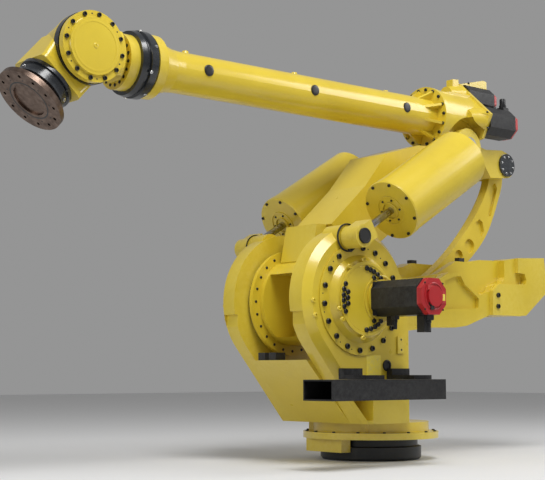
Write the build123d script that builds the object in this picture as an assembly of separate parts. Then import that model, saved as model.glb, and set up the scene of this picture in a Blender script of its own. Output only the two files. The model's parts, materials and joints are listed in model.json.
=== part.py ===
"""Large six-axis parallel-link robot arm, bolted to the floor by its base ring.

Millimetres. +X is forward, +Y is the robot's left, +Z is up.
The origin is the centre of the base ring on the floor.
Every body is drawn in the resting pose: arm leaning back, forearm level, wrist bent down.
"""
import math
import os

from build123d import *

# Base ring and turning plate
BASE_RADIUS = 290
BASE_HEIGHT = 75
RIM_RADIUS = 270
RIM_TOP = 117
BASE_EDGE = 14
SLEW_RADIUS = 190
BASE_BOLT_CIRCLE = 500
BASE_BOLT_COUNT = 12
BASE_BOLT_RADIUS = 13
BASE_BOLT_DEPTH = 60
PLATE_RADIUS = 390
PLATE_BOTTOM = 123
PLATE_THICKNESS = 36

# Turret casting
NECK_RADIUS = 335
NECK_HEIGHT = 56
WALL_INNER = 228
WALL_OUTER = 364
EAR_RADIUS = 392
EAR_EDGE = 40
TURRET_REAR = 25
SLOPE_RISE = 1.06
LIP_X = 392
FOOT_REAR_TOP = 400
WEB_TOP = 560
NOTCH_HEIGHT = 116
NOTCH_DEPTH = 26
NOTCH_DROP = 74

# Shoulder axis, shared by the lower arm and the counterweight lever
SHOULDER_X = 447
SHOULDER_Z = 887
JOURNAL_RADIUS = 130
FIT = 0.05

# Drive covers and the two large motors on the turret
COVER_RADIUS = 304
COVER_SEAT = 8
DOME_RADIUS = 238
DOME_HEIGHT = 46
ADAPTER_RADIUS = 108
ADAPTER_HEIGHT = 16
MOTOR_OFFSET = 108
MOTOR_SIZE = 190
MOTOR_CHAMFER = 42
MOTOR_LENGTH = 330
MOTOR_CAP_LENGTH = 34

# Fork-lift tubes beside the turret
TUBE_INNER_Y = 475
TUBE_WIDTH = 212
TUBE_BOTTOM = 352
TUBE_HEIGHT = 105
TUBE_REAR_X = 127
TUBE_LENGTH = 841
TUBE_WALL = 8
BRACKET_XS = (173, 541)
BRACKET_LENGTH = 140
BRACKET_HEIGHT = 58

# Lower arm
DRUM_RADIUS = 246
DRUM_FAR_Y = -180
DRUM_NEAR_Y = 104
FLANGE_RADIUS = 300
FLANGE_THICKNESS = 27
RUNNING_GAP = 6
ARM_LENGTH = 1536
ARM_LEAN = 49.4
BEAM_HALF_WIDTH = 150
ARM_EAR_RADIUS = 118
ARM_EAR_OUTER = 170
ARM_EAR_INNER = 112
FORK_RADIUS = 185
FORK_DEPTH = 262
ELBOW_PIN_RADIUS = 62

# Parallelogram: lever pin, link and link-top pin
CRANK_X = -447
CRANK_Z = -58
LEVER_INNER = 112
LEVER_OUTER = 206
LEVER_HUB_RADIUS = 236
PIN_RADIUS = 46
LINK_EYE_RADIUS = 92
LINK_HALF_WIDTH = 30
LINK_TOP_EYE_RADIUS = 78
LINK_EYE_HALF_WIDTH = 56
LINK_POCKET_DEPTH = 18
LINK_BACK_SWING = 10
CHEEK_INNER = 62
CHEEK_RADIUS = 82
LINK_COVER_RADIUS = 74
LINK_COVER_THICKNESS = 12
PIVOT_GAP = 1

# Counterweight at the rear of the lever
LEVER_SEAT = 281
LEVER_STEP = 160
LEVER_POCKET_DEPTH = 24
BUMPER_HEIGHT = 24
REAR_BLOCK_DISTANCE = 1557
REAR_BLOCK_LENGTH = 110
REAR_HALF_WIDTH = 230

# Forearm and elbow casing
ELBOW_FLANGE_X = -491
FOREARM_Z = 2072
FOREARM_PITCH = 0.7
FOREARM_FLANGE_RADIUS = 190
FOREARM_FLANGE_THICKNESS = 30
TUBE_REAR_RADIUS = 117
TUBE_FRONT_RADIUS = 109
MOUTH_RADIUS = 165
MOUTH_X = 1640
ROLL_RING_RADIUS = 173
ROLL_RING_LENGTH = 98
ROLL_JOURNAL_RADIUS = 96
JOURNAL_DEPTH = 44
MOTOR_PLATE_X = -830
MOTOR_PLATE_THICKNESS = 24
MOTOR_PLATE_HALF_WIDTH = 258
MOTOR_PLATE_RISE = 260
MOTOR_PLATE_DROP = 127
ELBOW_MOTOR_SIZE = 180
ELBOW_MOTOR_LENGTH = 250
UPPER_MOTOR_SIZE = 150
UPPER_MOTOR_RISE = 176
LOWER_MOTOR_SPACING = 300

# Wrist
WRIST_X = 2045
BEND = 47.5
NECK_RADIUS_FRONT = 143
NECK_FLANGE_LENGTH = 58
NECK_BODY_RADIUS = 108
NECK_BRIDGE_FAR = -40
HUB_RADIUS = 176
HUB_FAR = -100
HUB_NEAR = 106
WRIST_ARM_INNER = 151
WRIST_ARM_OUTER = 172
WRIST_COVER_RADIUS = 174
BEND_RING_LENGTH = 39
BEND_JOURNAL_RADIUS = 90
HAND_REACH = 360
HAND_SEAT = 218
HAND_SEAT_RADIUS = 139
HAND_CORNER = 26
HAND_ROOT = 40
BEND_LIMIT = 120
HAND_RING_RADIUS = 143
HAND_RING_LENGTH = 75
TOOL_RADIUS = 181
TOOL_THICKNESS = 28
TOOL_JOURNAL_RADIUS = 88
PILOT_RADIUS = 90
TOOL_BOLT_CIRCLE = 300
TOOL_BOLT_COUNT = 12
TOOL_BOLT_RADIUS = 8.5
TOOL_BOLT_DEPTH = 24
PILOT_DEPTH = 10

# Balancers
BALANCER_Y = 444
EAR_PIN_X = 550
EAR_PIN_Z = 1213
BALANCER_LEAN = 148.8
CAP_DISTANCE = 314
BARREL_LENGTH = 711
BARREL_RADIUS = 175
TAIL_DISTANCE = 1068
ROD_RADIUS = 21
ROD_LENGTH = 752
ROD_BORE_GAP = 0.1
EYE_RADIUS = 62
EYE_HALF_WIDTH = 58
EAR_BOSS_RADIUS = 72
EAR_PIN_RADIUS = 34

# Places that follow from the sizes above
SHOULDER = (SHOULDER_X, SHOULDER_Z)
ELBOW = (
    SHOULDER_X - ARM_LENGTH * math.sin(math.radians(ARM_LEAN)),
    SHOULDER_Z + ARM_LENGTH * math.cos(math.radians(ARM_LEAN)),
)
CRANK = (SHOULDER_X + CRANK_X, SHOULDER_Z + CRANK_Z)
LINK_TOP = (ELBOW[0] + CRANK_X, ELBOW[1] + CRANK_Z)
PLATE_TOP = PLATE_BOTTOM + PLATE_THICKNESS
NECK_TOP = PLATE_TOP + NECK_HEIGHT
COVER_FACE = WALL_OUTER + COVER_SEAT
MOTOR_FACE = COVER_FACE + DOME_HEIGHT + ADAPTER_HEIGHT
BALANCER_AXIS = (math.cos(math.radians(BALANCER_LEAN)), math.sin(math.radians(BALANCER_LEAN)))
HAND_AXIS = (math.cos(math.radians(BEND)), -math.sin(math.radians(BEND)))


def slab(points, y0, y1, radius=0):
    """Solid between y0 and y1 whose side outline joins the given X, Z points."""
    if radius:
        outline = FilletPolyline(*points, radius=radius, close=True)
    else:
        outline = Polyline(*points, close=True)
    face = make_face(outline)
    low, high = sorted((y0, y1))
    return Plane.XZ.offset(-low) * extrude(face, amount=-(high - low))


def disc(centre, radius, y0, y1):
    """Cylinder across the machine, from y0 to y1."""
    middle = (y0 + y1) / 2
    return Pos(centre[0], middle, centre[1]) * Rot(90, 0, 0) * Cylinder(radius, abs(y1 - y0))


def turned(profile, place):
    """Solid of revolution: profile points are radius and height along the local Z axis."""
    outline = make_face(Polyline(*profile, close=True))
    return place * revolve(Plane.XZ * outline, Axis.Z)


def box(x0, x1, y0, y1, z0, z1):
    """Rectangular solid between two corners."""
    size = Box(abs(x1 - x0), abs(y1 - y0), abs(z1 - z0))
    return Pos((x0 + x1) / 2, (y0 + y1) / 2, (z0 + z1) / 2) * size


def forward(x, z):
    """Place whose Z axis points forward along +X, at height z on the centre plane."""
    return Plane(origin=(x, 0, z), x_dir=(0, 1, 0), z_dir=(1, 0, 0))


def together(pieces):
    """Separate solids that share one node."""
    return Compound([piece.solid() for piece in pieces])


def mirrored(solid):
    """The same piece on the other side of the centre plane."""
    return solid.mirror(Plane.XZ)


def turned_about(centre, angle, solid):
    """A solid swung about a cross axis; a positive angle takes the front down."""
    pivot = Pos(centre[0], 0, centre[1])
    return pivot * Rot(0, angle, 0) * Pos(-centre[0], 0, -centre[1]) * solid


def tipped(solid):
    """A forearm piece, drawn level, tipped nose down about the elbow."""
    return turned_about(ELBOW, FOREARM_PITCH, solid)


def arm_point(along, front):
    """X and Z beside the line from shoulder to elbow; the front side bulges."""
    lean = math.radians(ARM_LEAN)
    return (
        SHOULDER_X - along * math.sin(lean) + front * math.cos(lean),
        SHOULDER_Z + along * math.cos(lean) + front * math.sin(lean),
    )


def link_point(along, bulge):
    """X and Z beside the line from the lever pin to the link-top pin, bulging to the rear."""
    lean = math.radians(ARM_LEAN)
    return (
        CRANK[0] - along * ARM_LENGTH * math.sin(lean) - bulge * math.cos(lean),
        CRANK[1] + along * ARM_LENGTH * math.cos(lean) - bulge * math.sin(lean),
    )


def rearward(points):
    """X and Z of points given as distance behind the shoulder and height above it."""
    return [(SHOULDER_X - back, SHOULDER_Z + up) for back, up in points]


def along_balancer(distance):
    """X and Z of a point on the balancer axis, measured from its lower pin."""
    return (
        EAR_PIN_X + distance * BALANCER_AXIS[0],
        EAR_PIN_Z + distance * BALANCER_AXIS[1],
    )


def balancer_plane(distance):
    """Place on the left balancer axis, Z pointing up the barrel."""
    x, z = along_balancer(distance)
    return Plane(
        origin=(x, BALANCER_Y, z),
        x_dir=(0, 1, 0),
        z_dir=(BALANCER_AXIS[0], 0, BALANCER_AXIS[1]),
    )


def hand_plane(distance):
    """Place on the hand axis, Z pointing out of the tool flange."""
    return Plane(
        origin=(WRIST_X + distance * HAND_AXIS[0], 0, FOREARM_Z + distance * HAND_AXIS[1]),
        x_dir=(0, 1, 0),
        z_dir=(HAND_AXIS[0], 0, HAND_AXIS[1]),
    )


def bolt_holes(circle_radius, count, radius, depth):
    """Drills for a ring of holes going up from the local origin plane."""
    drill = Pos(0, 0, depth / 2) * Cylinder(radius, depth)
    return [place * drill for place in PolarLocations(circle_radius, count)]


def base_ring():
    profile = [
        (0, 0),
        (BASE_RADIUS - BASE_EDGE, 0),
        (BASE_RADIUS, BASE_EDGE),
        (BASE_RADIUS, BASE_HEIGHT),
        (RIM_RADIUS, BASE_HEIGHT + 6),
        (RIM_RADIUS, RIM_TOP),
        (SLEW_RADIUS, RIM_TOP),
        (SLEW_RADIUS, PLATE_TOP - 4),
        (0, PLATE_TOP - 4),
    ]
    ring = turned(profile, Pos(0, 0, 0))
    holes = bolt_holes(BASE_BOLT_CIRCLE / 2, BASE_BOLT_COUNT, BASE_BOLT_RADIUS, BASE_BOLT_DEPTH)
    return ring - holes


def turning_plate():
    plate = Pos(0, 0, PLATE_BOTTOM + PLATE_THICKNESS / 2) * Cylinder(PLATE_RADIUS, PLATE_THICKNESS)
    bore = Pos(0, 0, PLATE_BOTTOM + PLATE_THICKNESS / 2) * Cylinder(SLEW_RADIUS + FIT, PLATE_THICKNESS)
    return plate - bore


def stop_block():
    body = box(250, 345, -175, 110, 50, PLATE_BOTTOM)
    clear = Cylinder(BASE_RADIUS + RUNNING_GAP, 2 * PLATE_BOTTOM)
    outer = Cylinder(PLATE_RADIUS, 2 * PLATE_BOTTOM)
    return (body - clear) & outer


def slope_x(z):
    """X of the sloping front of the turret at height z."""
    return LIP_X + (z - NECK_TOP) / SLOPE_RISE


def foot():
    """Round neck on the turning plate, with the sloping front web between the walls."""
    neck = Pos(0, 0, PLATE_TOP + NECK_HEIGHT / 2) * Cylinder(NECK_RADIUS, NECK_HEIGHT)
    wedge = slab(
        [
            (TURRET_REAR, PLATE_TOP),
            (NECK_RADIUS - 60, PLATE_TOP),
            (NECK_RADIUS - 60, NECK_TOP),
            (LIP_X, NECK_TOP),
            (slope_x(WEB_TOP), WEB_TOP),
            (slope_x(WEB_TOP) - 95, WEB_TOP),
            (SHOULDER_X + 40, FOOT_REAR_TOP + 60),
            (TURRET_REAR + 90, FOOT_REAR_TOP),
            (TURRET_REAR, FOOT_REAR_TOP),
        ],
        -WALL_INNER,
        WALL_INNER,
    )
    step = box(-215, -60, -250, 250, PLATE_TOP, NECK_TOP)
    return (neck + wedge) + (step & Cylinder(PLATE_RADIUS - 12, 4 * NECK_TOP))


def wall():
    """Left turret wall: a round ear on a foot whose front follows the slope."""
    ear = disc(SHOULDER, EAR_RADIUS, WALL_INNER, WALL_OUTER)
    tangent = math.radians(-40)
    toe = (
        SHOULDER_X + EAR_RADIUS * math.cos(tangent),
        SHOULDER_Z + EAR_RADIUS * math.sin(tangent),
    )
    leg = slab(
        [
            (TURRET_REAR, NECK_TOP),
            (LIP_X, NECK_TOP),
            toe,
            (SHOULDER_X, SHOULDER_Z),
            (TURRET_REAR + 30, SHOULDER_Z + 60),
            (TURRET_REAR, SHOULDER_Z - 160),
        ],
        WALL_INNER,
        WALL_OUTER,
    )
    solid = ear + leg
    edges = solid.edges().filter_by_position(Axis.Y, WALL_OUTER - 1, WALL_OUTER + 1)
    solid = chamfer(edges.filter_by(lambda edge: edge.center().Z > NECK_TOP + 1), EAR_EDGE)
    boss = disc((EAR_PIN_X, EAR_PIN_Z), EAR_BOSS_RADIUS, WALL_INNER + 20, COVER_FACE + 4)
    root = slab(
        [
            (EAR_PIN_X - EAR_BOSS_RADIUS, EAR_PIN_Z),
            (EAR_PIN_X + EAR_BOSS_RADIUS, EAR_PIN_Z),
            (EAR_PIN_X + 2 * EAR_BOSS_RADIUS, EAR_PIN_Z - 110),
            (EAR_PIN_X - 2 * EAR_BOSS_RADIUS, EAR_PIN_Z - 60),
        ],
        WALL_INNER + 20,
        WALL_OUTER - EAR_EDGE,
    )
    pin = disc((EAR_PIN_X, EAR_PIN_Z), EAR_PIN_RADIUS, COVER_FACE, BALANCER_Y + EYE_HALF_WIDTH + 4)
    solid = solid + boss + root + pin
    seat = disc(SHOULDER, COVER_RADIUS + 1, WALL_OUTER - 12, WALL_OUTER + 40)
    bore = disc(SHOULDER, JOURNAL_RADIUS + FIT, WALL_INNER - 1, WALL_OUTER + 1)
    notch_x = SHOULDER_X + EAR_RADIUS
    notch = box(
        notch_x - NOTCH_DEPTH,
        notch_x + 60,
        WALL_INNER - 1,
        WALL_OUTER - EAR_EDGE,
        SHOULDER_Z - NOTCH_DROP - NOTCH_HEIGHT,
        SHOULDER_Z - NOTCH_DROP,
    )
    window = slab(
        [(488, 352), (500, 470), (350, 470), (350, 236), (376, 230)],
        WALL_INNER - 1,
        WALL_OUTER + 1,
    )
    return solid - seat - bore - notch - window


def drive_cover():
    """Bolted round cover over a shoulder drive, with a domed centre and a motor seat."""
    seat_y = WALL_OUTER - 12
    profile = [
        (0, 0),
        (COVER_RADIUS, 0),
        (COVER_RADIUS, COVER_FACE - seat_y),
        (DOME_RADIUS, COVER_FACE - seat_y),
        (DOME_RADIUS - 26, COVER_FACE - seat_y + DOME_HEIGHT * 0.6),
        (DOME_RADIUS - 60, COVER_FACE - seat_y + DOME_HEIGHT),
        (0, COVER_FACE - seat_y + DOME_HEIGHT),
    ]
    place = Plane(origin=(SHOULDER_X, seat_y, SHOULDER_Z), x_dir=(1, 0, 0), z_dir=(0, 1, 0))
    cover = turned(profile, place)
    boss = disc(
        (SHOULDER_X - MOTOR_OFFSET, SHOULDER_Z),
        ADAPTER_RADIUS,
        COVER_FACE + DOME_HEIGHT / 2,
        MOTOR_FACE,
    )
    return cover + boss


def octagon(size, corner):
    """Square outline with its four corners cut off."""
    half = size / 2
    return Polyline(
        (half - corner, half),
        (half, half - corner),
        (half, corner - half),
        (half - corner, -half),
        (corner - half, -half),
        (-half, corner - half),
        (-half, half - corner),
        (corner - half, half),
        close=True,
    )


def octagon_bar(place, size, corner, length):
    """Motor-shaped bar along the local Z axis of a place."""
    return place * extrude(make_face(octagon(size, corner)), amount=length)


def motor_place(y):
    return Plane(
        origin=(SHOULDER_X - MOTOR_OFFSET, y, SHOULDER_Z),
        x_dir=(1, 0, 0),
        z_dir=(0, 1, 0),
    )


def shoulder_motor():
    body = octagon_bar(motor_place(MOTOR_FACE), MOTOR_SIZE, MOTOR_CHAMFER, MOTOR_LENGTH)
    under = SHOULDER_Z - MOTOR_SIZE / 2
    x = SHOULDER_X - MOTOR_OFFSET
    brake_plug = box(x - 16, x + 16, MOTOR_FACE + 40, MOTOR_FACE + 80, under - 50, under)
    power_plug = box(
        x - 26, x + 26, MOTOR_FACE + MOTOR_LENGTH - 64, MOTOR_FACE + MOTOR_LENGTH - 12, under - 90, under
    )
    return body + brake_plug + power_plug


def shoulder_motor_cap():
    body = octagon_bar(
        motor_place(MOTOR_FACE + MOTOR_LENGTH), MOTOR_SIZE, MOTOR_CHAMFER + 12, MOTOR_CAP_LENGTH
    )
    hub = disc(
        (SHOULDER_X - MOTOR_OFFSET, SHOULDER_Z),
        54,
        MOTOR_FACE + MOTOR_LENGTH + MOTOR_CAP_LENGTH,
        MOTOR_FACE + MOTOR_LENGTH + MOTOR_CAP_LENGTH + 14,
    )
    return body + hub


def lift_tube():
    x1 = TUBE_REAR_X + TUBE_LENGTH
    y1 = TUBE_INNER_Y + TUBE_WIDTH
    z1 = TUBE_BOTTOM + TUBE_HEIGHT
    outer = box(TUBE_REAR_X, x1, TUBE_INNER_Y, y1, TUBE_BOTTOM, z1)
    inner = box(
        TUBE_REAR_X - 1,
        x1 + 1,
        TUBE_INNER_Y + TUBE_WALL,
        y1 - TUBE_WALL,
        TUBE_BOTTOM + TUBE_WALL,
        z1 - TUBE_WALL,
    )
    return outer - inner


def tube_brackets():
    z0 = TUBE_BOTTOM + TUBE_HEIGHT
    pair = []
    for x in BRACKET_XS:
        foot_plate = box(
            x - BRACKET_LENGTH / 2, x + BRACKET_LENGTH / 2, WALL_OUTER, TUBE_INNER_Y + 90, z0, z0 + 22
        )
        upright = box(
            x - BRACKET_LENGTH / 2,
            x + BRACKET_LENGTH / 2,
            WALL_OUTER,
            WALL_OUTER + 40,
            z0,
            z0 + BRACKET_HEIGHT,
        )
        pair.append(foot_plate + upright)
    return together(pair)


def front_bumpers():
    blocks = []
    for y in (-150, -60):
        x = slope_x(WEB_TOP) - 48
        blocks.append(Pos(x, y, WEB_TOP + 21) * Box(70, 56, 42))
    return together(blocks)


def reducer_ring():
    """Dark ring of the shoulder reducer on the far wall, facing the arm's flange."""
    y0 = -WALL_INNER
    y1 = DRUM_FAR_Y - FLANGE_THICKNESS - RUNNING_GAP
    ring = disc(SHOULDER, FLANGE_RADIUS - 14, y0, y1)
    bore = disc(SHOULDER, JOURNAL_RADIUS + 4, y0 - 1, y1 + 1)
    return ring - bore


def lower_arm():
    """Cast arm: drum and bearing flange at the shoulder, forked ears at the elbow."""
    drum = disc(SHOULDER, DRUM_RADIUS, DRUM_FAR_Y, DRUM_NEAR_Y)
    flange = disc(SHOULDER, FLANGE_RADIUS, DRUM_FAR_Y - FLANGE_THICKNESS, DRUM_FAR_Y)
    far_journal = disc(SHOULDER, JOURNAL_RADIUS, -WALL_OUTER + 20, DRUM_FAR_Y)
    near_journal = disc(SHOULDER, JOURNAL_RADIUS, DRUM_NEAR_Y, WALL_OUTER - 20)
    front = [(224, 373), (59, 246), (64, 187), (185, -10), (261, -75), (301, 325), (277, 328)]
    block = slab([arm_point(*p) for p in front], -BEAM_HALF_WIDTH, DRUM_NEAR_Y)
    upper_end = [
        (642, 336),
        (ARM_LENGTH - 625, 376),
        (ARM_LENGTH - 361, 258),
        (ARM_LENGTH - 232, 156),
        (ARM_LENGTH - 135, 100),
        (ARM_LENGTH + 62, 100),
        (ARM_LENGTH + 88, -74),
        (ARM_LENGTH - 84, -83),
        (ARM_LENGTH - 427, -38),
        (548, 15),
    ]
    narrow = [(266, 316)] + upper_end + [(237, -41), (20, 105)]
    wide = [(277, 328)] + upper_end + [(365, 47), (315, 142)]
    beam = slab([arm_point(*p) for p in narrow], -BEAM_HALF_WIDTH, DRUM_NEAR_Y)
    upper = slab([arm_point(*p) for p in wide], -BEAM_HALF_WIDTH, BEAM_HALF_WIDTH)
    ears = disc(ELBOW, ARM_EAR_RADIUS, -ARM_EAR_OUTER, ARM_EAR_OUTER)
    stub = BALANCER_Y - BARREL_RADIUS - RUNNING_GAP
    trunnion = disc(along_balancer(TAIL_DISTANCE), 62, -stub, stub)
    solid = drum + flange + far_journal + near_journal + block + beam + upper + ears + trunnion
    gap = disc(ELBOW, FORK_DEPTH, -ARM_EAR_INNER, ARM_EAR_INNER)
    bore = disc(ELBOW, ELBOW_PIN_RADIUS + FIT, -ARM_EAR_OUTER - 1, ARM_EAR_OUTER + 1)
    pocket = slab(
        rearward([(-23, 153), (-453, 153), (-453, -197), (-23, -197), (17, -127), (17, 93)]),
        -BEAM_HALF_WIDTH,
        DRUM_NEAR_Y - 20,
    )
    return solid - gap - bore - pocket


def elbow_shaft():
    return disc(ELBOW, ELBOW_PIN_RADIUS, -ARM_EAR_OUTER - 14, ARM_EAR_OUTER + 14)


def rear_link_room():
    """Room that the link's back needs when it swings rearward past the counterweight."""
    grown = link_shank(2 * RUNNING_GAP, LINK_HALF_WIDTH + RUNNING_GAP + 2)
    return turned_about(CRANK, -LINK_BACK_SWING, grown)


def lever():
    """Counterweight lever: a long near arm from the shoulder and a short far arm."""
    hub = disc(SHOULDER, LEVER_HUB_RADIUS, LEVER_INNER, LEVER_OUTER)
    under = [(774, -130), (970, -126), (1079, -112), (1294, -42)]
    block = [(REAR_BLOCK_DISTANCE, -41), (REAR_BLOCK_DISTANCE, 326)]
    ledge = [(1456, 308), (1258, 301), (1147, LEVER_SEAT), (1037, LEVER_SEAT)]
    inner = [(120, -200)] + under + block + ledge + [(859, 194), (597, 153), (120, 150)]
    rim = [
        (1459, 308),
        (1455, 213),
        (1428, 169),
        (1323, 142),
        (1299, 104),
        (1207, 79),
        (1151, 98),
        (1075, 138),
        (1032, 193),
        (989, 201),
        (913, 201),
        (838, 165),
        (597, 150),
        (120, 150),
    ]
    near = slab(rearward(inner), LEVER_INNER, LEVER_STEP)
    face = slab(rearward([(120, -200)] + under + block + rim), LEVER_STEP - 1, LEVER_OUTER)
    nose = [(387, -128), (363, -58), (387, 32), (647, 223), (854, 252), (937, LEVER_SEAT)]
    far = slab(rearward(nose + list(reversed(under + block + ledge))), -LEVER_OUTER, -LEVER_INNER)
    rear = slab(
        rearward(
            [
                (REAR_BLOCK_DISTANCE - REAR_BLOCK_LENGTH, -41),
                (REAR_BLOCK_DISTANCE, -41),
                (REAR_BLOCK_DISTANCE, 318),
                (REAR_BLOCK_DISTANCE - REAR_BLOCK_LENGTH, 306),
            ]
        ),
        -LEVER_OUTER,
        LEVER_OUTER,
    )
    solid = hub + near + face + far + rear
    bore = disc(SHOULDER, JOURNAL_RADIUS + FIT, LEVER_INNER - 1, LEVER_OUTER + 1)
    crank_bore = disc(CRANK, PIN_RADIUS + FIT, -LEVER_OUTER - 1, LEVER_OUTER + 1)
    recess = [
        (880, 150),
        (967, 180),
        (1028, 186),
        (1064, 137),
        (1129, 97),
        (1195, 56),
        (1188, -2),
        (876, -19),
    ]
    pocket = slab(rearward(recess), LEVER_OUTER - LEVER_POCKET_DEPTH, LEVER_OUTER + 1, 12)
    return solid - bore - crank_bore - pocket - rear_link_room()


def counterweight():
    """Cast block at the end of the lever, with a low shoulder on each side of the arms."""
    outline = [
        (REAR_BLOCK_DISTANCE, -41),
        (1630, -35),
        (1851, 120),
        (1828, 342),
        (REAR_BLOCK_DISTANCE, 326),
    ]
    block = slab(rearward(outline), -REAR_HALF_WIDTH, REAR_HALF_WIDTH)
    inside = REAR_BLOCK_DISTANCE + 20
    shoulder = [(1297, -41), (inside, -41), (inside, 160), (1362, 154), (1304, 110)]
    near = slab(rearward(shoulder), LEVER_OUTER, REAR_HALF_WIDTH)
    far = slab(rearward(shoulder), -REAR_HALF_WIDTH, -LEVER_OUTER)
    keyhole = slab(
        rearward([(1540, 160), (1627, 163), (1640, 190), (1622, 230), (1540, 233)]),
        REAR_HALF_WIDTH - 40,
        REAR_HALF_WIDTH + 1,
    )
    return block + near + far - keyhole - rear_link_room()


def lever_bumpers():
    blocks = []
    for back, y in ((992, -LEVER_OUTER + 47), (1100, LEVER_STEP - 24)):
        x = SHOULDER_X - back
        z = SHOULDER_Z + LEVER_SEAT + BUMPER_HEIGHT / 2
        blocks.append(Pos(x, y, z) * Box(48, 36, BUMPER_HEIGHT))
    return together(blocks)


def lever_pin():
    return disc(CRANK, PIN_RADIUS, -LEVER_OUTER - 8, LEVER_OUTER + 8)


def link_shank(margin, half_width):
    """Curved plate of the link, grown by a margin on its two long edges."""
    front = [
        (0.05, -45), (0.22, 75), (0.40, 131), (0.55, 141),
        (0.67, 128), (0.82, 85), (0.92, 19), (0.97, -60),
    ]
    rear = [
        (1.0, 85), (0.977, 117), (0.91, 173), (0.83, 228),
        (0.74, 272), (0.63, 287), (0.45, 262), (0.25, 180), (0.03, 75),
    ]
    ahead = [link_point(along, bulge - margin) for along, bulge in front]
    behind = [link_point(along, bulge + margin) for along, bulge in rear]
    edges = [
        Spline(*ahead),
        Line(ahead[-1], behind[0]),
        Spline(*behind),
        Line(behind[-1], ahead[0]),
    ]
    face = make_face(edges)
    return Plane.XZ.offset(half_width) * extrude(face, amount=-2 * half_width)


def link_pockets(y0, y1):
    """Casting pockets in one face of the link."""
    slot = [(0.914, 60), (0.945, 70), (0.940, 108), (0.828, 206), (0.812, 190), (0.868, 122)]
    oblong = [(0.723, 146), (0.757, 152), (0.765, 186), (0.745, 240), (0.716, 252), (0.724, 186)]
    return [
        slab([link_point(*p) for p in slot], y0, y1),
        slab([link_point(*p) for p in oblong], y0, y1),
        disc(link_point(0.630, 222), 45, y0, y1),
        disc(link_point(0.549, 207), 38, y0, y1),
    ]


def link():
    """Curved tension link between the lever pin and the fork of the elbow casing."""
    floor = LINK_HALF_WIDTH - LINK_POCKET_DEPTH
    hub_width = LEVER_INNER - RUNNING_GAP
    eye = disc(CRANK, LINK_EYE_RADIUS, -hub_width, hub_width)
    top_eye = disc(LINK_TOP, LINK_TOP_EYE_RADIUS, -LINK_EYE_HALF_WIDTH, LINK_EYE_HALF_WIDTH)
    solid = link_shank(0, LINK_HALF_WIDTH) + eye + top_eye
    solid = solid - disc(CRANK, PIN_RADIUS + FIT, -hub_width - 1, hub_width + 1)
    solid = solid - disc(LINK_TOP, PIN_RADIUS + PIVOT_GAP, -hub_width, hub_width)
    solid = solid - link_pockets(floor, LINK_HALF_WIDTH + 1)
    return solid - link_pockets(-LINK_HALF_WIDTH - 1, -floor)


def link_covers():
    """Round bolted covers on the cheeks of the fork, over the ends of the link-top pin."""
    outer = ARM_EAR_INNER - RUNNING_GAP
    pair = [
        disc(LINK_TOP, LINK_COVER_RADIUS, outer, outer + LINK_COVER_THICKNESS),
        disc(LINK_TOP, LINK_COVER_RADIUS, -outer - LINK_COVER_THICKNESS, -outer),
    ]
    return together(pair)


def casing_fork():
    """Rear fork of the elbow casing, with the pin that the link hangs on."""
    outer = ARM_EAR_INNER - RUNNING_GAP
    neck = slab(
        [
            (ELBOW[0] - 60, ELBOW[1] + 70),
            (ELBOW[0] - 150, ELBOW[1] + 40),
            (ELBOW[0] - 245, ELBOW[1] + 22),
            (LINK_TOP[0] + 40, LINK_TOP[1] + 94),
            (LINK_TOP[0] - 14, LINK_TOP[1] + CHEEK_RADIUS - 2),
            (LINK_TOP[0] - 10, LINK_TOP[1] - CHEEK_RADIUS + 1),
            (LINK_TOP[0] + 157, LINK_TOP[1] - 97),
            (ELBOW[0] - 232, ELBOW[1] - 84),
            (ELBOW[0] - 100, ELBOW[1] - 70),
            (ELBOW[0] - 40, ELBOW[1] - 90),
        ],
        -outer,
        outer,
    )
    cheeks = disc(LINK_TOP, CHEEK_RADIUS, -outer, outer)
    slot = box(
        LINK_TOP[0] - 2 * CHEEK_RADIUS,
        LINK_TOP[0] + LINK_TOP_EYE_RADIUS + 8 * RUNNING_GAP,
        -CHEEK_INNER,
        CHEEK_INNER,
        LINK_TOP[1] - 2 * CHEEK_RADIUS,
        LINK_TOP[1] + 2 * CHEEK_RADIUS,
    )
    pin = disc(LINK_TOP, PIN_RADIUS, -outer, outer)
    return neck + cheeks - slot + pin


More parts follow.
